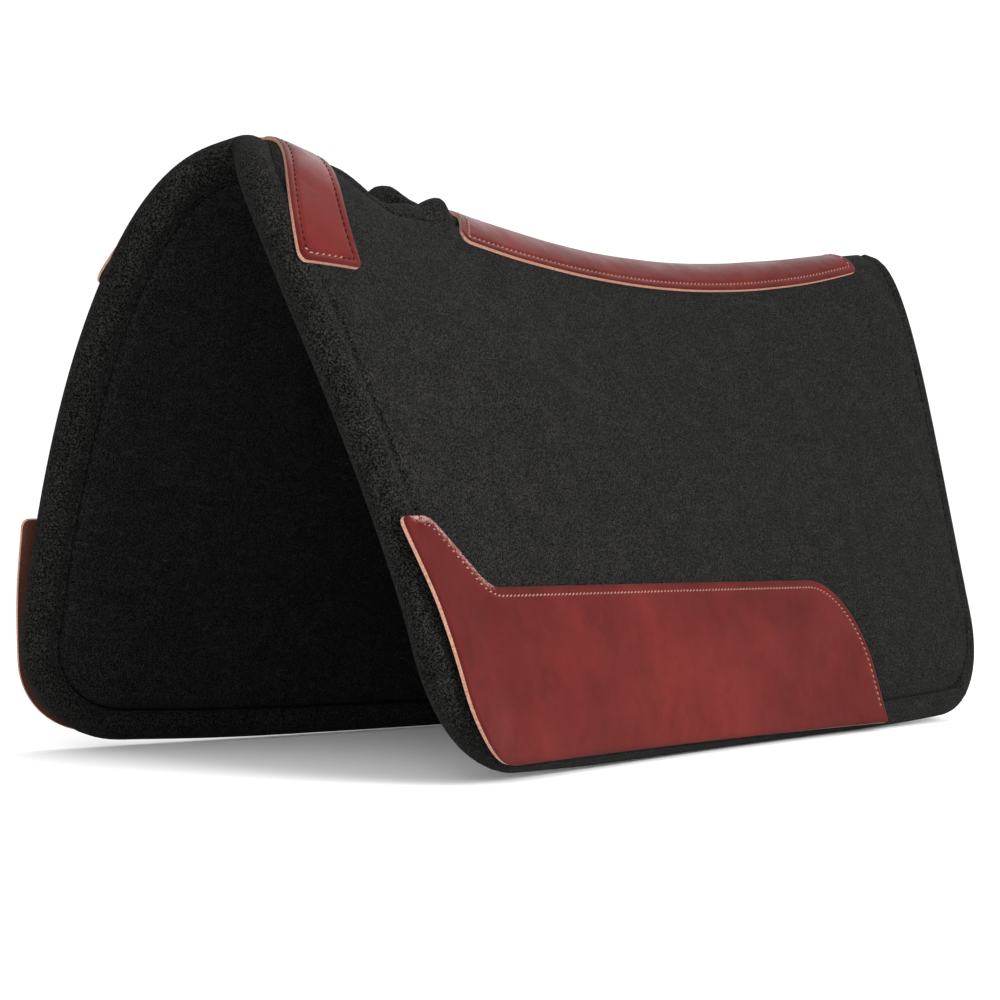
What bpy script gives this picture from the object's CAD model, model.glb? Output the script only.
import math

import bpy
import numpy as np
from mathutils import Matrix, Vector, noise
from mathutils.geometry import delaunay_2d_cdt


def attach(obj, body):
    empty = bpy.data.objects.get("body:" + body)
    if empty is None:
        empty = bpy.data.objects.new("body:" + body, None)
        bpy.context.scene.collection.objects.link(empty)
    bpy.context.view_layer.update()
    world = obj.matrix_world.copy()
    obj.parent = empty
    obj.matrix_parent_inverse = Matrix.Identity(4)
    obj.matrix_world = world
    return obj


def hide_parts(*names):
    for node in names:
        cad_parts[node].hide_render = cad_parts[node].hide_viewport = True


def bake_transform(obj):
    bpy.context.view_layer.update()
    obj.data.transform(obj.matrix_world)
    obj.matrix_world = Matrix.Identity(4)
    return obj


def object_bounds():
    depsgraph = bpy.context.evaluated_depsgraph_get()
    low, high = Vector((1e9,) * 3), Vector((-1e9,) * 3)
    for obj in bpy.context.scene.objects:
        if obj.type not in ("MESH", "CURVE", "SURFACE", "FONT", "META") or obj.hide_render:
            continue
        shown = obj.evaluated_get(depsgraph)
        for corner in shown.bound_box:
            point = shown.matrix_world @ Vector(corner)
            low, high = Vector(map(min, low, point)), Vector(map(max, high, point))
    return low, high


# Contoured western saddle pad: the looks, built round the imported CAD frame. Metres.
# Every soft surface is given by three numbers: y along the spine, b the distance down from the
# spine measured over the felt (negative on the right side), and h the height above its mid-surface.

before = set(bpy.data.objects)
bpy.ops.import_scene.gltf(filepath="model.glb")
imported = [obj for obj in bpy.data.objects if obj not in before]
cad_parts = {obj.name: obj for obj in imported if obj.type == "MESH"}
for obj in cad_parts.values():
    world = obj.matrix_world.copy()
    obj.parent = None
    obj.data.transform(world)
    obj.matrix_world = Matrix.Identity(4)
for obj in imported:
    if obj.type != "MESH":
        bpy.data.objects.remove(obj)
cad_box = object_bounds()
MM = 0.001

# The felt's mid-surface, as in the CAD: Bernstein values from the wither end to the rear end
FELT = 0.025
ROLL = FELT / 2
SPINE_FRONT = -0.3627
SPINE_REAR = 0.3993
SPINE_HEIGHTS = (0.3865, 0.3715, 0.3105, 0.3655, 0.3905)
HALF_WIDTHS = (0.187, 0.122, 0.125)
LOWER_HEIGHTS = (0.0225, 0.0005, 0.025)
CROWN_REACH = (0.36, 0.38)
CROWN_DROP = (0.006, 0.008)
FLAP_STRAIGHT = (0.075, 0.178)
FLAP_LEAN = (0.0, math.radians(20))
FRONT_SHIFTS = (0.0, -0.079, -0.004, -0.020)
REAR_SHIFTS = (0.0, -0.020, -0.005, -0.036)
LOWER_REACH = 0.0155
FLOOR_SOFTNESS = 0.002
CORNER_RADII = (0.085, 0.070)
NOTCH_SOFTNESS = 0.005
CROWN_BLEND = 0.014
NORMAL_STEP = 0.001
# The wither rises a little above the CAD's, and the rise fades over these distances along y and b
WITHER_RISE = 0.006
WITHER_FADE_START = -0.36
WITHER_FADE = (0.09, 0.15)

# Wither slot, and the layers inside the felt
SLOT_FRONT, SLOT_FRONT_RADIUS = -0.267, 0.022
SLOT_REAR, SLOT_REAR_RADIUS = -0.204, 0.009
ROLL_WIDTH = 0.022
LAYER_GAP = 0.0003
CORE_OUTER = 0.0043
CORE_INNER = -0.004
LINER_ROUNDING = 0.0035

# Seams
EDGE_SEAM = 0.019
EDGE_GROOVE = (0.0018, 0.0032)
EDGE_CREASE_OFFSET = 0.0042
EDGE_CREASE = (0.0011, 0.0011)
INNER_GROOVE = (0.0024, 0.0020)
THROUGH_SEAM = (0.004, 0.0022)
SLOT_SEAM = 0.014
LEATHER = 0.003
LEATHER_GAP = 0.0002
EDGE_ROUNDING = (0.0026, 0.0007)
PRESSED_SEAM = (0.0012, 0.0008)
HANDLED_EDGE = 0.010
# How much of the felt's roll each leather follows where it lies over it
WEAR_FOLLOW = 0.0
WITHER_FOLLOW = 0.35
SPINE_FOLLOW = 0.5
SEAM_INSET = 0.0055
PUFF_CAP = 0.0035
PUFF_PRESSURE = 4.0
PUFF_FRAMES = 20

# The mesh: distances of its rings from the felt's edge, and its spacing
RINGS = [0, 0.5, 1.5, 3, 5, 7.5, 10, 12.5, 15, 16.8, 18, 19, 20, 21.2, 22, 22.4, 23.4, 25.5]
RING_DISTANCES = [r * MM for r in RINGS]
RING_STEP = 0.006
GRID_STEP = 0.0075
SLOT_STEP = 0.003
SPINE_STEP = 0.006
LEATHER_RINGS = (0.0006, 0.0014, 0.0026, 0.0040, 0.0050, 0.0060, 0.0072, 0.0095)

# Fold: the width over the spine across which soft pieces bend
SIDES = ((1, "left"), (-1, "right"))

# Stitches: pitch, length, thread radius and slant
WEAR_STITCH = (0.0046, 0.0034, 0.00055, 0.45)
SPINE_STITCH = (0.0052, 0.0032, 0.00055, 0.5)
WITHER_STITCH = (0.0055, 0.0046, 0.00055, 0.0)
WITHER_LOW_STITCH = (0.0055, 0.0038, 0.00050, 0.3)
FELT_STITCH = (0.006, 0.0045, 0.0006, 0.0)


def bernstein(values, t):
    """Bernstein polynomial with these values, at t from 0 to 1."""
    degree = len(values) - 1
    return sum(math.comb(degree, i) * t ** i * (1 - t) ** (degree - i) * c for i, c in enumerate(values))


def between(pair, t):
    return pair[0] * (1 - t) + pair[1] * t


def smooth(t):
    """Soft step from 0 to 1."""
    t = np.clip(t, 0, 1)
    return t * t * (3 - 2 * t)


def mid(y, v):
    """Points of the mid-surface on the left side, v from 0 at the spine to 1 near the lower edge."""
    y, v = np.broadcast_arrays(np.asarray(y, float), np.asarray(v, float))
    s = (y - SPINE_FRONT) / (SPINE_REAR - SPINE_FRONT)
    crown = bernstein(SPINE_HEIGHTS, s)
    width = bernstein(HALF_WIDTHS, s)
    lower = bernstein(LOWER_HEIGHTS, s)
    lean = between(FLAP_LEAN, s)
    straight = between(FLAP_STRAIGHT, s)
    xs = (0 * s, between(CROWN_REACH, s) * width, width - straight * np.sin(lean), width)
    zs = (crown, crown - between(CROWN_DROP, s), lower + straight * np.cos(lean), lower)
    return np.stack([bernstein(xs, v), y, bernstein(zs, v)], -1)


def unit(a):
    return a / np.linalg.norm(a, axis=-1, keepdims=True)


def outward(y, v):
    """Unit normals of the mid-surface, away from the horse."""
    down = mid(y, v + NORMAL_STEP) - mid(y, v - NORMAL_STEP)
    along = mid(y + NORMAL_STEP, v) - mid(y - NORMAL_STEP, v)
    return unit(np.cross(down, along))


# Distance down over the felt at a table of stations, to turn b into v and back
STATIONS = np.linspace(-0.47, 0.47, 95)
V_STEPS = np.linspace(0, 1.14, 229)
section_points = mid(STATIONS[:, None], V_STEPS[None, :])
section_steps = np.linalg.norm(np.diff(section_points, axis=1), axis=2)
ARC = np.concatenate([np.zeros((len(STATIONS), 1)), np.cumsum(section_steps, axis=1)], axis=1)


def arc_rows(y):
    """Distances from the spine at every V_STEPS, for each station y."""
    place_in_table = (np.asarray(y, float) - STATIONS[0]) / (STATIONS[1] - STATIONS[0])
    i = np.clip(place_in_table.astype(int), 0, len(STATIONS) - 2)
    f = (place_in_table - i)[:, None]
    return ARC[i] * (1 - f) + ARC[i + 1] * f


def v_from_b(y, b):
    """Surface parameter at a distance b down from the spine."""
    rows = arc_rows(y)
    j = np.clip((rows < b[:, None]).sum(1) - 1, 0, len(V_STEPS) - 2)
    n = np.arange(len(b))
    low, high = rows[n, j], rows[n, j + 1]
    return V_STEPS[j] + (b - low) / (high - low) * (V_STEPS[1] - V_STEPS[0])


def b_from_v(y, v):
    """Distance down from the spine at a surface parameter."""
    rows = arc_rows(y)
    return np.array([np.interp(vi, V_STEPS, row) for vi, row in zip(v, rows)])


def b_from_height(y, z, h):
    """How far down the outer surface, h above the mid-surface, passes height z at station y."""
    found = []
    for yi, zi, row in zip(y, z, arc_rows(y)):
        heights = (mid(yi, V_STEPS) + outward(np.full_like(V_STEPS, yi), V_STEPS) * h)[:, 2]
        found.append(np.interp(-zi, -heights, row))
    return np.array(found)


def surface_frame(y, b):
    """Mid-surface points and outward normals for signed b."""
    y = np.asarray(y, float)
    b = np.asarray(b, float)
    side = np.where(b < 0, -1.0, 1.0)
    v = v_from_b(y, np.abs(b))
    p = mid(y, v)
    n = outward(y, v)
    along_y = 1 - smooth((y - WITHER_FADE_START) / WITHER_FADE[0])
    p[:, 2] += WITHER_RISE * along_y * (1 - smooth(np.abs(b) / WITHER_FADE[1]))
    n[:, 0] *= smooth(np.abs(b) / CROWN_BLEND)
    n = unit(n)
    p[:, 0] *= side
    n[:, 0] *= side
    return p, n


def place(y, b, h):
    """Points at (y, b), h above the mid-surface."""
    p, n = surface_frame(y, b)
    return p + n * np.asarray(h, float).reshape(-1, 1)


def resample(points, step):
    """Points at even steps along an open polyline."""
    points = np.asarray(points, float)
    lengths = np.concatenate([[0], np.cumsum(np.linalg.norm(np.diff(points, axis=0), axis=1))])
    count = max(2, int(round(lengths[-1] / step)) + 1)
    wanted = np.linspace(0, lengths[-1], count)
    return np.stack([np.interp(wanted, lengths, points[:, k]) for k in range(2)], -1)


def distance_to(points, line):
    """Distance from each point to an open polyline."""
    a, d = line[:-1], np.diff(line, axis=0)
    size = (d * d).sum(1) + 1e-18
    out = np.empty(len(points))
    for start in range(0, len(points), 2000):
        q = points[start:start + 2000, None] - a
        t = np.clip((q * d).sum(2) / size, 0, 1)
        out[start:start + 2000] = np.sqrt(((q - t[..., None] * d) ** 2).sum(2).min(1))
    return out


def inside(points, loop):
    x, y = points[:, 0][:, None], points[:, 1][:, None]
    x0, y0 = loop[:, 0], loop[:, 1]
    x1, y1 = np.roll(x0, -1), np.roll(y0, -1)
    crosses = (y0 > y) != (y1 > y)
    rise = np.where(y1 == y0, 1e-12, y1 - y0)
    at = (x1 - x0) * (y - y0) / rise + x0
    return (crosses & (x < at)).sum(1) % 2 == 1


def line_normals(line):
    """Normals to the left of an open polyline's direction."""
    tangent = np.gradient(line, axis=0)
    tangent /= np.linalg.norm(tangent, axis=1)[:, None]
    return np.stack([-tangent[:, 1], tangent[:, 0]], -1)


def bezier_corner(start, corner, end, count=14):
    """Rounded corner between two points on the sides of a corner."""
    kappa = 0.5523
    p1 = start + (corner - start) * kappa
    p2 = end + (corner - end) * kappa
    t = np.linspace(0, 1, count)[:, None]
    return (1 - t) ** 3 * start + 3 * (1 - t) ** 2 * t * p1 + 3 * (1 - t) * t ** 2 * p2 + t ** 3 * end


def soft_notch(b):
    """Distance that leaves zero smoothly, so that the edge turns softly over the spine."""
    return np.sqrt(b * b + NOTCH_SOFTNESS ** 2) - NOTCH_SOFTNESS


def felt_outline():
    """Edge of the left half's felt in (y, b): down the front, along the bottom, up the rear."""
    v = np.linspace(0, 1.1, 111)
    front = SPINE_FRONT + bernstein(FRONT_SHIFTS, v) - ROLL
    rear = SPINE_REAR + bernstein(REAR_SHIFTS, v) + ROLL
    front_b = b_from_v(front, v)
    rear_b = b_from_v(rear, v)
    front = np.interp(soft_notch(front_b), front_b, front)
    y = np.linspace(-0.43, 0.42, 171)
    s = (y - SPINE_FRONT) / (SPINE_REAR - SPINE_FRONT)
    lower = bernstein(LOWER_HEIGHTS, s) - LOWER_REACH
    lower = (lower + np.sqrt(lower ** 2 + FLOOR_SOFTNESS ** 2)) / 2
    bottom_b = b_from_height(y, lower, 0)
    parts = []
    for edge, edge_b, radius in ((front, front_b, CORNER_RADII[0]), (rear, rear_b, CORNER_RADII[1])):
        gap = np.abs(edge[:, None] - y) + np.abs(edge_b[:, None] - bottom_b)
        i, j = np.unravel_index(gap.argmin(), gap.shape)
        parts.append((edge, edge_b, i, j, radius))
    (front, front_b, fi, fj, fr), (rear, rear_b, ri, rj, rr) = parts
    front_line = np.stack([front, front_b], -1)
    rear_line = np.stack([rear, rear_b], -1)
    bottom_line = np.stack([y, bottom_b], -1)
    front_cut = front_line[front_b < front_b[fi] - fr]
    rear_cut = rear_line[rear_b < rear_b[ri] - rr]
    along_bottom = bottom_line[(y > y[fj] + fr) & (y < y[rj] - rr)]
    front_corner = bezier_corner(front_cut[-1], np.array([front[fi], bottom_b[fj]]), along_bottom[0])
    rear_corner = bezier_corner(along_bottom[-1], np.array([rear[ri], bottom_b[rj]]), rear_cut[-1])
    line = np.concatenate([front_cut, front_corner[1:-1], along_bottom, rear_corner[1:-1], rear_cut[::-1]])
    line[0, 1] = 0
    line[-1, 1] = 0
    return resample(line, RING_STEP)


def slot_outline():
    """Left half of the slot in (y, b), from its rear end round to its front end."""
    tilt = math.asin((SLOT_FRONT_RADIUS - SLOT_REAR_RADIUS) / (SLOT_REAR - SLOT_FRONT))
    rear = np.linspace(0, math.pi / 2 - tilt, 12)
    front = np.linspace(math.pi / 2 - tilt, math.pi, 20)
    small = np.stack([SLOT_REAR + SLOT_REAR_RADIUS * np.cos(rear), SLOT_REAR_RADIUS * np.sin(rear)], -1)
    large = np.stack([SLOT_FRONT + SLOT_FRONT_RADIUS * np.cos(front), SLOT_FRONT_RADIUS * np.sin(front)], -1)
    line = np.concatenate([small, large])
    line[0, 1] = 0
    line[-1, 1] = 0
    return resample(line, SLOT_STEP)


def triangulate(points, edges, loop):
    """Delaunay triangles of points with fixed edges, kept where they lie inside a closed loop."""
    coords = [Vector(p) for p in points.tolist()]
    result = delaunay_2d_cdt(coords, edges, [], 0, 1e-7)
    verts = np.array([list(v) for v in result[0]])
    tris = np.array([f for f in result[2] if len(f) == 3])
    centres = verts[tris].mean(1)
    tris = tris[inside(centres, loop)]
    a, b, c = (verts[tris[:, k]] for k in range(3))
    turn = (b[:, 0] - a[:, 0]) * (c[:, 1] - a[:, 1]) - (b[:, 1] - a[:, 1]) * (c[:, 0] - a[:, 0])
    tris[turn < 0] = tris[turn < 0][:, ::-1]
    source = np.array([ids[0] if len(ids) else -1 for ids in result[3]])
    return verts, tris, source


def chain(start, count):
    """Edges that join a run of points in order."""
    return [(start + i, start + i + 1) for i in range(count - 1)]


def felt_domain():
    """Triangles of the left half of the felt in (y, b), with each vertex's distance from the edge."""
    outline = felt_outline()
    slot = slot_outline()
    ring_points, ring_sizes = [], []
    for line in (outline, slot):
        normals = line_normals(line)
        for k, distance in enumerate(RING_DISTANCES):
            ring = line - normals * distance
            if k:
                other = slot if line is outline else outline
                keep = (ring[:, 1] > 0.002) & (distance_to(ring, other) > distance)
                keep &= distance_to(ring, line) > distance * 0.9
                ring = ring[keep]
            ring_points.append(ring)
            ring_sizes.append(np.full(len(ring), distance))
    ends = ((outline[0, 0], 1), (slot[-1, 0], -1), (slot[0, 0], 1), (outline[-1, 0], -1))
    spine = []
    for (a, step_a), (b, step_b) in (ends[:2], ends[2:]):
        near = [a + step_a * d for d in RING_DISTANCES] + [b + step_b * d for d in RING_DISTANCES]
        near = [y for y in near if a <= y <= b]
        if b - a > 0.06:
            near += list(np.arange(a + 0.03, b - 0.028, SPINE_STEP))
        spine.append(np.unique(np.round(near, 6)))
    spine_points = [np.stack([y, 0 * y], -1) for y in spine]
    spine_sizes = [np.minimum(y - y[0], y[-1] - y) for y in spine]
    loop = np.concatenate([outline, slot])
    lows, highs = outline.min(0), outline.max(0)
    row_step = GRID_STEP * math.sqrt(3) / 2
    rows = []
    for k, b in enumerate(np.arange(lows[1] + row_step, highs[1], row_step)):
        y = np.arange(lows[0] + (k % 2) * GRID_STEP / 2, highs[0], GRID_STEP)
        rows.append(np.stack([y, np.full_like(y, b)], -1))
    grid = np.concatenate(rows)
    grid = grid[inside(grid, loop)]
    grid_size = np.minimum(distance_to(grid, outline), distance_to(grid, slot))
    keep = (grid_size > RING_DISTANCES[-1] + GRID_STEP * 0.5) & (grid[:, 1] > GRID_STEP * 0.45)
    points = np.concatenate(ring_points + spine_points + [grid[keep]])
    sizes = np.concatenate(ring_sizes + spine_sizes + [grid_size[keep]])
    first_slot = sum(len(r) for r in ring_points[:len(RING_DISTANCES)])
    first_spine = sum(len(r) for r in ring_points)
    edges = chain(0, len(outline)) + chain(first_slot, len(slot))
    edges += chain(first_spine, len(spine[0])) + chain(first_spine + len(spine[0]), len(spine[1]))
    verts, tris, source = triangulate(points, edges, loop)
    size = np.where(source >= 0, sizes[source], 0)
    added = source < 0
    if added.any():
        size[added] = np.minimum(distance_to(verts[added], outline), distance_to(verts[added], slot))
    return verts, tris, size, outline, slot


def shell(name, coords, tris, top, bottom, side=1, materials=(), wall_slot=0, bottom_slot=0):
    """Closed mesh from triangles in (y, b) with a top and a bottom height at each vertex."""
    used = np.unique(tris)
    renumber = np.full(len(coords), -1)
    renumber[used] = np.arange(len(used))
    tris = renumber[tris]
    y, b, top, bottom = coords[used, 0], coords[used, 1] * side, top[used], bottom[used]
    count = len(used)
    upper = place(y, b, top)
    lower = place(y, b, bottom)
    touching = np.linalg.norm(upper - lower, axis=1) < 1e-6
    lower_index = np.where(touching, np.arange(count), count + np.cumsum(~touching) - 1)
    verts = np.concatenate([upper, lower[~touching]])
    faces = [tuple(t) for t in tris.tolist()]
    slots = [0] * len(faces)
    below = lower_index[tris][:, ::-1].tolist()
    faces += [tuple(t) for t in below]
    slots += [bottom_slot] * len(below)
    half_edges = np.concatenate([tris[:, [0, 1]], tris[:, [1, 2]], tris[:, [2, 0]]])
    present = {tuple(e) for e in half_edges.tolist()}
    for i, j in half_edges.tolist():
        if (j, i) in present:
            continue
        ring = []
        for index in (j, i, lower_index[i], lower_index[j]):
            if int(index) not in ring:
                ring.append(int(index))
        if len(ring) > 2:
            faces.append(tuple(ring))
            slots.append(wall_slot)
    if side > 0:
        faces = [f[::-1] for f in faces]
    mesh = bpy.data.meshes.new(name)
    mesh.from_pydata(verts.tolist(), [], faces)
    for m in materials:
        mesh.materials.append(m)
    mesh.polygons.foreach_set("material_index", slots)
    mesh.polygons.foreach_set("use_smooth", [True] * len(faces))
    mesh.update()
    piece = bpy.data.objects.new(name, mesh)
    bpy.context.scene.collection.objects.link(piece)
    return piece, used, lower_index, count


def lumps(points, size, height, seed):
    """Soft noise heights at points, for felt that isn't perfectly even."""
    shift = Vector((seed * 3.1, seed * 1.7, seed * 0.9))
    return np.array([noise.noise(Vector(p) / size + shift) for p in points.tolist()]) * height


def roll_height(d):
    """Half-round height of the rolled edge at a distance d from the felt's edge."""
    inward = np.clip(1 - d / ROLL, 0, 1)
    return ROLL * np.sqrt(np.clip(1 - inward ** 2, 0, 1))


def dip(d, at, width, depth):
    """Depth of a pressed groove that runs at a given distance."""
    return depth * np.exp(-((d - at) / width) ** 2)


# ---------------------------------------------------------------- materials

class Nodes:
    """Small helper that adds shader nodes to one material."""

    def __init__(self, name):
        self.material = bpy.data.materials.new(name)
        self.material.use_nodes = True
        self.tree = self.material.node_tree
        self.shader = self.tree.nodes["Principled BSDF"]
        self.coords = self.tree.nodes.new("ShaderNodeTexCoord").outputs["Object"]

    def link(self, a, b):
        self.tree.links.new(a, b)

    def noise(self, scale, detail=3.0, rough=0.5, distortion=0.0, vector=None):
        node = self.tree.nodes.new("ShaderNodeTexNoise")
        node.inputs["Scale"].default_value = scale
        node.inputs["Detail"].default_value = detail
        node.inputs["Roughness"].default_value = rough
        node.inputs["Distortion"].default_value = distortion
        self.link(vector or self.coords, node.inputs["Vector"])
        return node.outputs["Fac"]

    def stretched(self, rotation, scale):
        """Coordinates turned and squeezed, so that noise runs in strands."""
        node = self.tree.nodes.new("ShaderNodeMapping")
        node.inputs["Rotation"].default_value = rotation
        node.inputs["Scale"].default_value = scale
        self.link(self.coords, node.inputs["Vector"])
        return node.outputs["Vector"]

    def ramp(self, value, stops):
        node = self.tree.nodes.new("ShaderNodeValToRGB")
        ramp = node.color_ramp
        while len(ramp.elements) < len(stops):
            ramp.elements.new(0.5)
        for element, (at, colour) in zip(ramp.elements, stops):
            element.position = at
            element.color = (*colour, 1) if hasattr(colour, "__len__") else (colour, colour, colour, 1)
        self.link(value, node.inputs["Fac"])
        return node.outputs["Color"]

    def mix(self, kind, factor, a, b):
        """Two colours mixed; each may be a socket or a plain value."""
        node = self.tree.nodes.new("ShaderNodeMix")
        node.data_type = "RGBA"
        node.blend_type = kind
        sockets = [s for s in node.inputs if s.type == "RGBA"]
        for value, socket in ((factor, node.inputs[0]), (a, sockets[0]), (b, sockets[1])):
            if hasattr(value, "links"):
                self.link(value, socket)
            elif hasattr(value, "__len__"):
                socket.default_value = (*value, 1)
            else:
                socket.default_value = value
        return [s for s in node.outputs if s.type == "RGBA"][0]

    def add(self, a, b, weight):
        """a plus b times a weight."""
        node = self.tree.nodes.new("ShaderNodeMath")
        node.operation = "MULTIPLY_ADD"
        self.link(b, node.inputs[0])
        node.inputs[1].default_value = weight
        self.link(a, node.inputs[2])
        return node.outputs[0]

    def attribute(self, name):
        node = self.tree.nodes.new("ShaderNodeAttribute")
        node.attribute_name = name
        return node.outputs["Fac"]

    def bump(self, height, strength, distance):
        node = self.tree.nodes.new("ShaderNodeBump")
        node.inputs["Strength"].default_value = strength
        node.inputs["Distance"].default_value = distance
        self.link(height, node.inputs["Height"])
        self.link(node.outputs["Normal"], self.shader.inputs["Normal"])

    def finish(self, colour, roughness=None):
        self.link(colour, self.shader.inputs["Base Color"])
        if roughness is not None:
            self.link(roughness, self.shader.inputs["Roughness"])
        return self.material


def felt_material(name, dark, middle, pale, fibre):
    """Pressed wool felt: fine speckle, soft mottling and loose pale fibres."""
    n = Nodes(name)
    speckle = n.noise(850, 4, 0.85)
    colour = n.ramp(speckle, [(0.44, dark), (0.50, middle), (0.57, pale)])
    mottle = n.ramp(n.noise(45, 4, 0.6), [(0.3, 0.80), (0.7, 1.16)])
    colour = n.mix("MULTIPLY", 1.0, colour, mottle)
    long_way = n.stretched((0.3, 0.5, 0.2), (1, 0.22, 1))
    cross_way = n.stretched((1.1, 0.2, 0.9), (0.22, 1, 1))
    hairs = None
    for vector, scale in ((long_way, 420), (cross_way, 380)):
        lines = n.noise(scale, 2, 0.5, 1.4, vector)
        thin = n.ramp(lines, [(0.485, 0.0), (0.5, 1.0), (0.515, 0.0)])
        patches = n.ramp(n.noise(170, 2, 0.5, 0, vector), [(0.56, 0.0), (0.68, 1.0)])
        strands = n.mix("MULTIPLY", 1.0, thin, patches)
        hairs = strands if hairs is None else n.mix("ADD", 1.0, hairs, strands)
    colour = n.mix("MIX", hairs, colour, fibre)
    height = n.add(n.noise(1500, 3, 0.6), n.noise(320, 3, 0.55), 1.1)
    height = n.add(height, hairs, 0.25)
    n.bump(height, 0.55, 0.0009)
    n.shader.inputs["Roughness"].default_value = 0.95
    n.shader.inputs["Specular IOR Level"].default_value = 0.02
    n.shader.inputs["Sheen Weight"].default_value = 0.01
    n.shader.inputs["Sheen Roughness"].default_value = 0.6
    return n.finish(colour)


def leather_material(name):
    """Smooth oiled leather: cloudy dye, darker handled edges, fine grain and pores."""
    n = Nodes(name)
    clouds = n.noise(9, 5, 0.6, 0.4)
    colour = n.ramp(clouds, [(0.3, (0.046, 0.0044, 0.0036)),
                             (0.5, (0.062, 0.0062, 0.0050)),
                             (0.7, (0.082, 0.0088, 0.0070))])
    stains = n.ramp(n.noise(60, 4, 0.65, 0.8), [(0.28, 0.82), (0.5, 1.0), (0.75, 1.08)])
    colour = n.mix("MULTIPLY", 1.0, colour, stains)
    edge = n.attribute("edge")
    worn = n.ramp(edge, [(0.0, 0.62), (0.12, 0.82), (0.4, 1.0)])
    colour = n.mix("MULTIPLY", 1.0, colour, worn)
    scuff_lines = n.noise(700, 3, 0.7, 0.8)
    scuffs = n.ramp(scuff_lines, [(0.44, 0.0), (0.56, 0.9)])
    rub = n.attribute("rub")
    scuffs = n.mix("MULTIPLY", 1.0, scuffs, rub)
    colour = n.mix("MIX", scuffs, colour, (0.30, 0.17, 0.15))
    grain = n.add(n.noise(1300, 3, 0.55), n.noise(260, 3, 0.5), 0.7)
    n.bump(grain, 0.16, 0.0005)
    rough = n.ramp(n.noise(35, 4, 0.6), [(0.3, 0.36), (0.7, 0.52)])
    n.shader.inputs["Specular IOR Level"].default_value = 0.035
    return n.finish(colour, rough)


def cut_edge_material(name, pale, dark):
    """Raw fibrous edge of cut leather."""
    n = Nodes(name)
    fibres = n.noise(900, 4, 0.65, 0.5)
    colour = n.ramp(fibres, [(0.32, dark), (0.62, pale)])
    n.bump(n.noise(1500, 3, 0.6), 0.5, 0.0005)
    n.shader.inputs["Roughness"].default_value = 0.85
    n.shader.inputs["Specular IOR Level"].default_value = 0.2
    return n.finish(colour)


def thread_material(name, dark, pale):
    """Twisted waxed thread."""
    n = Nodes(name)
    twist = n.noise(1600, 2, 0.5, 0.6)
    colour = n.ramp(twist, [(0.35, dark), (0.62, pale)])
    n.bump(n.noise(2400, 2, 0.5), 0.4, 0.0003)
    n.shader.inputs["Specular IOR Level"].default_value = 0.08
    n.shader.inputs["Roughness"].default_value = 0.7
    return n.finish(colour)


outer_felt = felt_material("outer_felt", (0.0004, 0.0004, 0.0004), (0.0024, 0.0023, 0.0022),
                           (0.0195, 0.0188, 0.0178), (0.030, 0.029, 0.027))
inner_felt = felt_material("inner_felt", (0.0010, 0.0010, 0.0010), (0.0038, 0.0038, 0.0039),
                           (0.015, 0.015, 0.0152), (0.038, 0.037, 0.035))
core_felt = felt_material("core_felt", (0.10, 0.10, 0.10), (0.16, 0.16, 0.16),
                          (0.22, 0.22, 0.22), (0.4, 0.4, 0.4))
leather_skin = leather_material("leather")
flesh_side = cut_edge_material("leather_flesh_side", (0.075, 0.026, 0.016), (0.036, 0.011, 0.007))
cut_edge = cut_edge_material("leather_cut_edge", (0.42, 0.235, 0.165), (0.22, 0.095, 0.065))
light_thread = thread_material("light_thread", (0.145, 0.072, 0.055), (0.27, 0.165, 0.130))
dark_thread = thread_material("dark_thread", (0.008, 0.002, 0.002), (0.022, 0.007, 0.006))
felt_thread = thread_material("felt_thread", (0.002, 0.002, 0.002), (0.006, 0.006, 0.006))

# ---------------------------------------------------------------- outlines of the leather


def rounded_loop(corners, step=0.0015):
    """Closed loop of (y, z) points through corners given as (y, z, radius)."""
    points = [np.array(c[:2], float) for c in corners]
    out = []
    for i, (_, _, radius) in enumerate(corners):
        here = points[i]
        back = unit(points[i - 1] - here)
        ahead = unit(points[(i + 1) % len(points)] - here)
        half = math.acos(np.clip(back @ ahead, -1, 1)) / 2
        reach = radius / math.tan(half)
        centre = here + unit(back + ahead) * radius / math.sin(half)
        start, end = here + back * reach - centre, here + ahead * reach - centre
        a0 = math.atan2(start[1], start[0])
        turn = (math.atan2(end[1], end[0]) - a0 + math.pi) % (2 * math.pi) - math.pi
        for t in np.linspace(0, 1, max(2, int(abs(turn) * radius / step) + 2)):
            angle = a0 + turn * t
            out.append(centre + radius * np.array([math.cos(angle), math.sin(angle)]))
    return np.array(out)


def arc_through(a, m, b, count=30):
    """Points of the parabola through three (y, z) points, even in z or in y, whichever is longer."""
    a, m, b = (np.array(p, float) for p in (a, m, b))
    k = 0 if abs(b[0] - a[0]) > abs(b[1] - a[1]) else 1
    t = np.linspace(a[k], b[k], count)
    curve = np.polyfit([a[k], m[k], b[k]], [a[1 - k], m[1 - k], b[1 - k]], 2)
    other = np.polyval(curve, t)
    return np.stack([t, other] if k == 0 else [other, t], -1)


WEAR_LOWER = 0.005
WEAR_CORNERS = [(-0.406, 0.158, 0.004), (-0.376, 0.1585, 0.020), (-0.329, 0.116, 0.032),
                (0.181, 0.116, 0.080), (0.191, WEAR_LOWER, 0.002), (-0.374, WEAR_LOWER + 0.006, 0.062)]
WITHER_FRONT = ((-0.345, 0.402), (-0.3807, 0.3663), (-0.409, 0.3115))
WITHER_REAR = ((-0.351, 0.3115), (-0.3347, 0.3567), (-0.302, 0.400))
SPINE_LOWER = ((-0.205, 0.349), (0.011, 0.3372), (0.342, 0.3794))
SPINE_FRONT_CROWN = -0.176
SPINE_REAR_CROWN = 0.346
OUTER = ROLL + LEATHER_GAP


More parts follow.
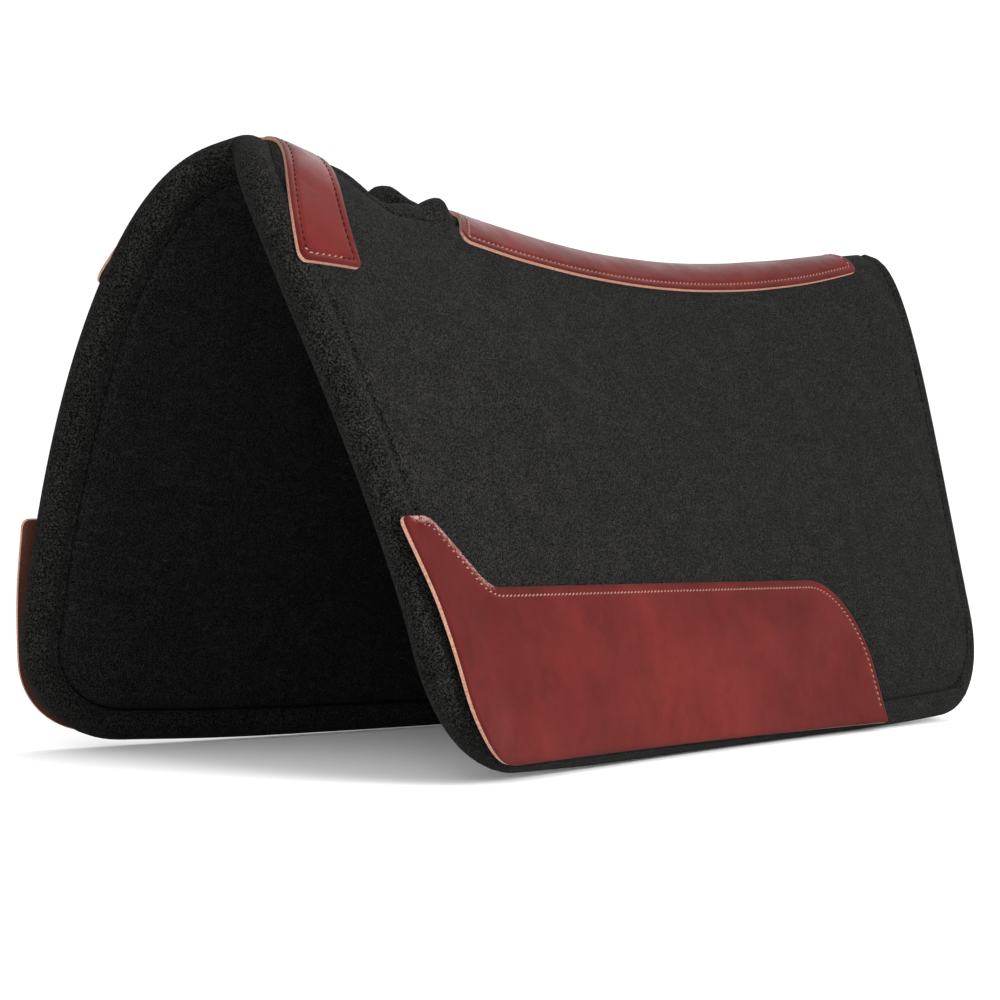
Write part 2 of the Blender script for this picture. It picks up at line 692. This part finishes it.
def to_domain(line, h=OUTER):
    """(y, b) points of a line given as (y, z) on the felt's outside."""
    return np.stack([line[:, 0], b_from_height(line[:, 0], line[:, 1], h)], -1)


def mirrored_loop(half):
    """Closed loop over the spine from its left half, which runs from one crown point to the other."""
    other = half[::-1] * np.array([1, -1])
    return np.concatenate([half, other[1:-1]])


def close(loop):
    return np.concatenate([loop, loop[:1]])


def wither_half():
    """Left half of the wither leather's outline, from its front crown point to its rear one."""
    front = to_domain(arc_through(*WITHER_FRONT))
    rear = to_domain(arc_through(*WITHER_REAR))
    front[0, 1] = 0
    rear[-1, 1] = 0
    corner_front, corner_rear = front[-1], rear[0]
    low = np.linspace(corner_front, corner_rear, 12)
    first = bezier_corner(front[-3], corner_front, low[1], 5)
    second = bezier_corner(low[-2], corner_rear, rear[2], 5)
    return np.concatenate([front[:-3], first, low[2:-2], second, rear[3:]])


def spine_half():
    """Left half of the spine leather's outline, from its front crown point to its rear one."""
    lower = to_domain(arc_through(*SPINE_LOWER, count=80))
    front = np.array([[SPINE_FRONT_CROWN, 0.0], [SPINE_FRONT_CROWN - 0.002, 0.012]])
    rear = np.array([[SPINE_REAR_CROWN, 0.010], [SPINE_REAR_CROWN, 0.0]])
    first = bezier_corner(np.array([-0.200, lower[0, 1] - 0.010]), lower[0], lower[1], 6)
    second = bezier_corner(lower[-2], lower[-1], np.array([0.3425, lower[-1, 1] - 0.005]), 5)
    return np.concatenate([front, first, lower[2:-2], second, rear])


wear_loop = to_domain(resample(close(rounded_loop(WEAR_CORNERS)), 0.003))[:-1]
wither_left = resample(wither_half(), 0.0025)
spine_left = resample(spine_half(), 0.003)


def inward_normals(loop):
    """Normals of a closed loop, into it."""
    closed = close(loop)
    area = 0.5 * np.sum(closed[:-1, 0] * closed[1:, 1] - closed[1:, 0] * closed[:-1, 1])
    return line_normals(closed)[:-1] * (1 if area > 0 else -1)


def leather_domain(loop, spacing):
    """Triangles of a leather piece in (y, b), with each vertex's distance from its edge."""
    closed = close(loop)
    inward = inward_normals(loop)
    groups, sizes = [loop], [np.zeros(len(loop))]
    for distance in LEATHER_RINGS:
        ring = loop + inward * distance
        keep = (distance_to(ring, closed) > distance * 0.93) & inside(ring, loop)
        groups.append(ring[keep])
        sizes.append(np.full(keep.sum(), distance))
    lows, highs = loop.min(0), loop.max(0)
    y, b = np.meshgrid(np.arange(lows[0], highs[0], spacing), np.arange(lows[1], highs[1], spacing))
    grid = np.stack([y.ravel(), b.ravel()], -1)
    grid = grid[inside(grid, loop)]
    size = distance_to(grid, closed)
    middle = size > LEATHER_RINGS[-1] + spacing * 0.5
    groups.append(grid[middle])
    sizes.append(size[middle])
    points, sizes = np.concatenate(groups), np.concatenate(sizes)
    edges = chain(0, len(loop)) + [(len(loop) - 1, 0)]
    verts, tris, source = triangulate(points, edges, loop)
    return verts, tris, np.where(source >= 0, sizes[source], 0)


# ---------------------------------------------------------------- felt

coords, tris, edge_distance, felt_edge, slot_edge = felt_domain()
slot_distance = distance_to(coords, slot_edge)
positions, _ = surface_frame(coords[:, 0], coords[:, 1])

wear_distance = distance_to(coords, close(wear_loop))
under_leather = inside(coords, wear_loop)
trim_distance = wear_distance
for half in (wither_left, spine_left):
    under_leather |= inside(coords, np.concatenate([half, half[:1] * np.array([1, 0])]))
    trim_distance = np.minimum(trim_distance, distance_to(coords, half))


def seam_path(loop, inset, keep):
    """A seam parallel to a closed loop, where keep says that there is one."""
    path = loop + inward_normals(loop) * inset
    path = path[(distance_to(path, close(loop)) > inset * 0.9) & keep(path)]
    jumps = np.linalg.norm(np.diff(path, axis=0, append=path[:1]), axis=1)
    start = (int(jumps.argmax()) + 1) % len(path)
    return np.roll(path, -start, axis=0)


WEAR_TOP_B = wear_loop[:, 1].min()


def along_top_and_rear(path):
    """True on the wear leather's top and rear, which are stitched; its front and bottom aren't."""
    height = place(path[:, 0], path[:, 1], 0)[:, 2]
    front_line = -0.3965 + (path[:, 1] - WEAR_TOP_B) * 0.45
    top = (height > 0.095) & (path[:, 0] > front_line)
    rear = (path[:, 0] > 0.05) & (height > WEAR_LOWER + 0.009)
    return top | rear


wear_seam = seam_path(wear_loop, SEAM_INSET, along_top_and_rear)

held = np.zeros(len(coords))
held = np.maximum(held, 1 - smooth((edge_distance - 0.021) / 0.010))
held = np.maximum(held, 1 - smooth((coords[:, 1] - 0.006) / 0.02))
top_held = np.maximum(held, under_leather.astype(float))
top_held = np.maximum(top_held, 1 - smooth((trim_distance - 0.006) / 0.012))
seam_distance = distance_to(coords, wear_seam)
bottom_held = np.maximum(held, 1 - smooth((seam_distance - 0.001) / 0.012))


def puff():
    """How far air pressure swells the felt's outer and inner faces between its seams."""
    count = len(coords)
    height = roll_height(edge_distance)
    body, _, lower_index, _ = shell("puff", coords, tris, height, -height)
    group = body.vertex_groups.new(name="held")
    for i in range(count):
        if top_held[i] > 0:
            group.add([i], float(top_held[i]), "REPLACE")
        j = int(lower_index[i])
        if j != i and bottom_held[i] > 0:
            group.add([j], float(bottom_held[i]), "REPLACE")
    rest = np.array([v.co for v in body.data.vertices])
    cloth = body.modifiers.new("cloth", "CLOTH")
    settings = cloth.settings
    settings.vertex_group_mass = "held"
    settings.use_pressure = True
    settings.uniform_pressure_force = PUFF_PRESSURE
    settings.effector_weights.gravity = 0
    settings.quality = 4
    settings.tension_stiffness = 20
    settings.bending_stiffness = 2
    cloth.collision_settings.use_collision = False
    cloth.point_cache.frame_start = 1
    cloth.point_cache.frame_end = PUFF_FRAMES
    scene = bpy.context.scene
    for number in range(1, PUFF_FRAMES + 1):
        scene.frame_set(number)
    shape = body.evaluated_get(bpy.context.evaluated_depsgraph_get()).data
    swollen = np.array([v.co for v in shape.vertices])
    scene.frame_set(1)
    bpy.data.objects.remove(body)
    _, normals = surface_frame(coords[:, 0], coords[:, 1])
    move = swollen - rest
    outer = (move[:count] * normals).sum(1)
    inner = -(move[lower_index] * normals).sum(1)
    outer = PUFF_CAP * np.tanh(np.clip(outer, 0, None) / PUFF_CAP) * (1 - top_held)
    inner = PUFF_CAP * np.tanh(np.clip(inner, 0, None) / PUFF_CAP) * (1 - bottom_held)
    return outer, inner


outer_puff, inner_puff = puff()
near_slot = 1 - smooth((slot_distance - 0.006) / 0.018)
# Where along the slot each side's rim rises or sinks, and by how much
SLOT_RIMS = {1: (-0.272, -0.004), -1: (-0.203, 0.020)}
REAR_LIP = (-0.212, 0.010)


def slot_rim(side):
    """The right rim of the slot stands higher than the left one, and both rise at its rear end."""
    centre, rise = SLOT_RIMS[side]
    rim = rise * (1 - smooth(np.abs(coords[:, 0] - centre) / 0.026)) * smooth(coords[:, 1] / 0.012)
    lip = REAR_LIP[1] * (1 - smooth(np.abs(coords[:, 0] - REAR_LIP[0]) / 0.022))
    return (rim + lip) * (1 - smooth((slot_distance - 0.004) / 0.026))


def felt_heights(side, seed):
    """Outer and inner heights of one half's felt, with rolls, seam grooves and slight unevenness."""
    d = edge_distance
    loose = smooth((d - 0.003) / 0.02) * (1 - top_held)
    outer = roll_height(d) + outer_puff
    outer = outer - dip(d, EDGE_SEAM, *EDGE_GROOVE) * (1 - under_leather)
    outer = outer - dip(d, EDGE_SEAM - EDGE_CREASE_OFFSET, *EDGE_CREASE) * (1 - under_leather)
    outer = outer + near_slot * smooth(d / 0.010) * 0.0022 * ~under_leather
    outer = outer + lumps(positions, 0.09, 0.0016, seed) * loose
    outer = outer + lumps(positions, 0.03, 0.0006, seed + 5) * loose
    inner = roll_height(d) + inner_puff
    inner = inner - dip(d, EDGE_SEAM, *INNER_GROOVE)
    inner = inner - dip(seam_distance, 0.0, *THROUGH_SEAM) * smooth((d - ROLL_WIDTH) / 0.01)
    inner = inner + lumps(positions, 0.07, 0.0020, seed + 9) * smooth((d - 0.024) / 0.02)
    inner = np.minimum(inner, ROLL + 0.004)
    rise = slot_rim(side)
    return outer + rise, inner - rise


def finish_piece(piece, body, node_names):
    """Ties a piece to a body, or bends it across the fold, and says which CAD nodes it stands for."""
    if body == "blend":
        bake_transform(piece)
    else:
        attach(piece, body)
    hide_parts(*node_names)


def build_felt(side, side_name, seed):
    """The cover with its rolled edge, the core inside it and the liner against the horse."""
    outer, inner = felt_heights(side, seed)
    d = edge_distance
    in_tray = d >= ROLL_WIDTH - 1e-6
    step_in = d >= ROLL_WIDTH + LAYER_GAP
    cover_bottom = np.where(in_tray, CORE_OUTER, -inner)
    layer_tris = tris[step_in[tris].all(1)]
    core_top = np.full(len(coords), CORE_OUTER - LAYER_GAP)
    core_bottom = np.full(len(coords), CORE_INNER)
    rim = smooth((d - ROLL_WIDTH - LAYER_GAP) / LINER_ROUNDING)
    liner_top = np.full(len(coords), CORE_INNER - LAYER_GAP)
    liner_bottom = -(inner * rim + (ROLL - LINER_ROUNDING) * (1 - rim))
    layers = (
        ("felt_cover", tris, outer, cover_bottom, "outer_felt", outer_felt, 0.9),
        ("felt_core", layer_tris, core_top, core_bottom, "core_felt", core_felt, 1.0),
        ("felt_liner", layer_tris, liner_top, liner_bottom, "inner_felt", inner_felt, 0.8),
    )
    for node, faces, top, bottom, slot_name, material, fill in layers:
        node_name = side_name + "_" + node
        piece, *_ = shell(node_name + "_piece", coords, faces, top, bottom, side, [material])
        finish_piece(piece, "blend", [node_name])


build_felt(1, "left", 3)
build_felt(-1, "right", 11)

# ---------------------------------------------------------------- leather


def felt_distance(points):
    """Distance of points on either side from the felt's edge or the slot."""
    whole = points.copy()
    whole[:, 1] = np.abs(whole[:, 1])
    return np.minimum(distance_to(whole, felt_edge), distance_to(whole, slot_edge))


def leather_base(points, follow):
    """Height of the leather's underside: it follows the felt's roll only partly."""
    return OUTER - (ROLL - roll_height(felt_distance(points))) * follow


def paint(piece, name, values):
    """Stores one number for each vertex, for the material to read."""
    attribute = piece.data.attributes.new(name, "FLOAT", "POINT")
    attribute.data.foreach_set("value", np.asarray(values, np.float32))


def leather_piece(name, loop, follow, spacing, side, seam, rub, lift=None):
    """Closed leather sheet with rounded edges, a pressed seam, and numbers for its handled edges."""
    points, faces, size = leather_domain(loop, spacing)
    low = leather_base(points, follow)
    if lift is not None:
        low = low + lift(points)
    rounding = EDGE_ROUNDING[1] * (1 - np.clip(size / EDGE_ROUNDING[0], 0, 1)) ** 2
    pressed = dip(distance_to(points, seam), 0, *PRESSED_SEAM)
    waves = lumps(np.stack([points[:, 0], points[:, 1], points[:, 0] * 0], -1), 0.06, 0.0005, 21)
    top = low + LEATHER - rounding - pressed + waves
    low = low + waves
    looks = [leather_skin, cut_edge, flesh_side]
    piece, used, _, count = shell(name, points, faces, top, low, side, looks, 1, 2)
    edge = np.zeros(len(piece.data.vertices))
    wear = np.zeros(len(piece.data.vertices))
    edge[:count] = np.clip(size[used] / HANDLED_EDGE, 0, 1)
    wear[:count] = rub(points[used])
    paint(piece, "edge", edge)
    paint(piece, "rub", wear)
    mesh = piece.data
    sharp = mesh.attributes.new("sharp_edge", "BOOLEAN", "EDGE")
    face_kinds = {}
    for polygon in mesh.polygons:
        for key in polygon.edge_keys:
            face_kinds.setdefault(key, set()).add(polygon.material_index)
    flags = [len(face_kinds[e.key]) > 1 for e in mesh.edges]
    sharp.data.foreach_set("value", flags)
    return piece


def horn_rub(points):
    """The edge is frayed along the horn's top and back slope."""
    down = wear_loop[:, 1] - WEAR_TOP_B
    frayed = (wear_loop[:, 0] > -0.400 + 0.3 * down) & (wear_loop[:, 0] < -0.300) & (down < 0.05)
    start = int(np.argmax(frayed & ~np.roll(frayed, 1)))
    line = np.roll(wear_loop, -start, axis=0)[:int(frayed.sum())]
    return 1 - smooth((distance_to(points, line) - 0.0016) / 0.0036)


def front_lift(points):
    """The wear leather's unstitched front edge stands off the felt, most of all low down."""
    front = 1 - smooth((points[:, 0] + 0.405 - (points[:, 1] - WEAR_TOP_B) * 0.2) / 0.045)
    return front * smooth((points[:, 1] - WEAR_TOP_B - 0.02) / 0.06) * 0.0035


def no_rub(points):
    return np.zeros(len(points))


def full_seam(loop, inset):
    return seam_path(loop, inset, lambda path: np.full(len(path), True))


wither_loop = mirrored_loop(wither_left)
spine_loop = mirrored_loop(spine_left)
wither_seam = full_seam(wither_loop, SEAM_INSET)
spine_seam = full_seam(spine_loop, SEAM_INSET)

for side, side_name in SIDES:
    wear = leather_piece(side_name + "_wear_leather_piece", wear_loop, WEAR_FOLLOW, 0.008, side, wear_seam,
                         horn_rub, front_lift)
    finish_piece(wear, side_name + "_side", [side_name + "_wear_leather"])

wither = leather_piece("wither_leather_piece", wither_loop, WITHER_FOLLOW, 0.005, 1, wither_seam, no_rub)
finish_piece(wither, "blend", ["left_wither_leather", "right_wither_leather"])
spine = leather_piece("spine_leather_piece", spine_loop, SPINE_FOLLOW, 0.006, 1, spine_seam, no_rub)
finish_piece(spine, "blend", ["left_spine_leather", "right_spine_leather"])

# ---------------------------------------------------------------- stitches


def stitch_template(length, radius, rounds=6, steps=6):
    """A short thread that dives into the leather at both ends, along local X with Z outward."""
    rings = []
    for i in range(steps + 1):
        t = i / steps
        x = (t - 0.5) * length
        rise = math.sin(math.pi * t) * radius * 1.1 - radius * 0.6
        r = radius * (0.55 + 0.45 * math.sin(math.pi * t))
        angles = np.linspace(0, 2 * math.pi, rounds, False)
        rings.append([(x, r * math.cos(a), rise + r * math.sin(a)) for a in angles])
    verts = np.array(rings).reshape(-1, 3)
    faces = []
    for i in range(steps):
        for j in range(rounds):
            k = (j + 1) % rounds
            faces.append((i * rounds + j, i * rounds + k, (i + 1) * rounds + k, (i + 1) * rounds + j))
    faces.append(tuple(range(rounds))[::-1])
    faces.append(tuple(steps * rounds + j for j in range(rounds)))
    return verts, faces


def stitch_row(name, path, stitch, height, material, side):
    """One mesh of separate stitches along a path in (y, b)."""
    pitch, length, radius, slant = stitch
    path = resample(path, pitch)
    step = np.gradient(path, axis=0)
    path = path.copy()
    path[:, 1] *= side
    step[:, 1] *= side
    h = height(path)
    centre = place(path[:, 0], path[:, 1], h)
    ahead = unit(place(path[:, 0] + step[:, 0] * 0.3, path[:, 1] + step[:, 1] * 0.3, h) - centre)
    _, out = surface_frame(path[:, 0], path[:, 1])
    across = unit(np.cross(out, ahead))
    verts, faces = stitch_template(length, radius)
    all_verts, all_faces = [], []
    for i in range(len(path)):
        angle = slant * side + 0.10 * noise.noise(Vector((i * 1.7, radius * 1000, 0)))
        a = ahead[i] * math.cos(angle) + across[i] * math.sin(angle)
        c = across[i] * math.cos(angle) - ahead[i] * math.sin(angle)
        base = len(all_verts) * len(verts)
        all_verts.append(centre[i] + verts[:, :1] * a + verts[:, 1:2] * c + verts[:, 2:] * out[i])
        all_faces += [tuple(base + k for k in f) for f in faces]
    mesh = bpy.data.meshes.new(name)
    mesh.from_pydata(np.concatenate(all_verts).tolist(), [], all_faces)
    mesh.materials.append(material)
    mesh.polygons.foreach_set("use_smooth", [True] * len(all_faces))
    piece = bpy.data.objects.new(name, mesh)
    bpy.context.scene.collection.objects.link(piece)
    return piece


def on_leather(follow):
    """Height function for stitches that sink a little into a leather's top."""
    def height(path):
        return leather_base(path, follow) + LEATHER - 0.0007
    return height


def above(path):
    """Height of the felt's own stitches, down in the seam groove."""
    return np.full(len(path), ROLL - 0.0019)


edge_seam_line = resample(felt_edge - line_normals(felt_edge) * EDGE_SEAM, 0.004)
edge_seam_line = edge_seam_line[edge_seam_line[:, 1] > 0.004]
clear = ~inside(edge_seam_line, wear_loop) & ~inside(edge_seam_line, wither_loop)
slot_seam_line = slot_edge - line_normals(slot_edge) * SLOT_SEAM
slot_seam_line = slot_seam_line[(slot_seam_line[:, 1] > 0.003) & ~inside(slot_seam_line, wither_loop)
                                & ~inside(slot_seam_line, spine_loop)]
left_wither_seam = wither_seam[wither_seam[:, 1] > 0.002]
left_spine_seam = spine_seam[spine_seam[:, 1] > 0.002]


def longest_run(line, limit):
    """The line rolled so that its one gap lies between its ends."""
    jumps = np.linalg.norm(np.diff(line, axis=0, append=line[:1]), axis=1)
    if jumps.max() > limit:
        line = np.roll(line, -(int(jumps.argmax()) + 1), axis=0)
    return line


def runs(line, keep):
    """Unbroken stretches of a line where keep is true."""
    out, current = [], []
    for point, ok in zip(line, keep):
        if ok:
            current.append(point)
        elif len(current) > 3:
            out.append(np.array(current))
            current = []
        else:
            current = []
    if len(current) > 3:
        out.append(np.array(current))
    return out


def join(pieces, name):
    """Joins pieces of one material into one mesh."""
    verts, faces = [], []
    for piece in pieces:
        base = len(verts)
        verts += [tuple(v.co) for v in piece.data.vertices]
        faces += [tuple(base + k for k in p.vertices) for p in piece.data.polygons]
    material = pieces[0].data.materials[0]
    for piece in pieces:
        bpy.data.objects.remove(piece)
    mesh = bpy.data.meshes.new(name)
    mesh.from_pydata(verts, [], faces)
    mesh.materials.append(material)
    mesh.polygons.foreach_set("use_smooth", [True] * len(faces))
    whole = bpy.data.objects.new(name, mesh)
    bpy.context.scene.collection.objects.link(whole)
    return whole


def is_low(path):
    """True along the wither leather's lower edge."""
    return path[:, 1] > path[:, 1].max() - 0.004


for side, side_name in SIDES:
    row = stitch_row(side_name + "_wear_thread_piece", longest_run(wear_seam, 0.02), WEAR_STITCH,
                     on_leather(WEAR_FOLLOW), light_thread, side)
    finish_piece(row, side_name + "_side", [side_name + "_wear_thread"])
    row = stitch_row(side_name + "_spine_thread_piece", longest_run(left_spine_seam, 0.02), SPINE_STITCH,
                     on_leather(SPINE_FOLLOW), light_thread, side)
    finish_piece(row, "blend", [side_name + "_spine_thread"])
    wither_path = longest_run(left_wither_seam, 0.02)
    low = is_low(wither_path)
    wither_rows = (
        ("_wither_thread_piece", ~low, WITHER_STITCH, "dark_thread", dark_thread),
        ("_wither_lower_stitches", low, WITHER_LOW_STITCH, "light_thread", light_thread),
    )
    for ending, part, stitch, slot_name, thread in wither_rows:
        rows = [stitch_row("run", run, stitch, on_leather(WITHER_FOLLOW), thread, side)
                for run in runs(wither_path, part)]
        finish_piece(join(rows, side_name + ending), "blend", [side_name + "_wither_thread"])
    rows = [stitch_row("run", run, FELT_STITCH, above, felt_thread, side)
            for run in runs(edge_seam_line, clear)]
    row = join(rows, side_name + "_edge_thread_piece")
    finish_piece(row, "blend", [side_name + "_edge_thread"])
    row = stitch_row(side_name + "_slot_thread_piece", slot_seam_line, FELT_STITCH, above, felt_thread, side)
    finish_piece(row, "blend", [side_name + "_slot_thread"])

# ---------------------------------------------------------------- floor, light and camera

FLOOR_REACH = 9.0
FLOOR_DROP = 0.001
floor_corners = [(x * FLOOR_REACH, y * FLOOR_REACH, 0) for x, y in ((-1, -1), (1, -1), (1, 1), (-1, 1))]
floor_mesh = bpy.data.meshes.new("floor")
floor_mesh.from_pydata(floor_corners, [], [(0, 1, 2, 3)])
floor = bpy.data.objects.new("floor", floor_mesh)
floor.location.z = cad_box[0][2] - FLOOR_DROP
bpy.context.scene.collection.objects.link(floor)
floor_look = Nodes("floor_paint")
floor_look.shader.inputs["Roughness"].default_value = 0.9
floor_look.shader.inputs["Specular IOR Level"].default_value = 0.1
floor_colour = floor_look.ramp(floor_look.noise(2, 2), [(0.3, 0.93), (0.7, 0.95)])
floor_mesh.materials.append(floor_look.finish(floor_colour))


def area_light(name, place_at, aim, size, power):
    light = bpy.data.lights.new(name, "AREA")
    light.shape = "DISK"
    light.size = size
    light.energy = power
    lamp = bpy.data.objects.new(name, light)
    lamp.location = place_at
    lamp.rotation_euler = (Vector(aim) - Vector(place_at)).to_track_quat("-Z", "Y").to_euler()
    bpy.context.scene.collection.objects.link(lamp)


MIDDLE = (0.0, 0.0, 0.2)
area_light("key", (2.9, -0.3, 1.15), MIDDLE, 1.7, 140)
area_light("front", (1.2, -2.4, 1.1), MIDDLE, 1.4, 24)
area_light("rear", (-1.2, 1.9, 2.2), MIDDLE, 1.4, 16)
world = bpy.data.worlds.new("studio")
world.use_nodes = True
world.node_tree.nodes["Background"].inputs["Color"].default_value = (1, 1, 1, 1)
world.node_tree.nodes["Background"].inputs["Strength"].default_value = 1.12
bpy.context.scene.world = world
bpy.context.scene.view_settings.view_transform = "Standard"

CAMERA_PLACE = Vector((1.0861, -1.4092, 0.1412))
CAMERA_AZIMUTH = math.radians(39.834)
CAMERA_RISE = math.radians(1.141)
CAMERA_ROLL = math.radians(0.219)
camera_data = bpy.data.cameras.new("camera")
camera_data.lens = 84.32
camera_data.sensor_width = 36
camera = bpy.data.objects.new("camera", camera_data)
camera.location = CAMERA_PLACE
camera.rotation_mode = "XYZ"
camera.rotation_euler = (math.pi / 2 + CAMERA_RISE, -CAMERA_ROLL, CAMERA_AZIMUTH)
bpy.context.scene.collection.objects.link(camera)
bpy.context.scene.camera = camera

bpy.context.view_layer.update()
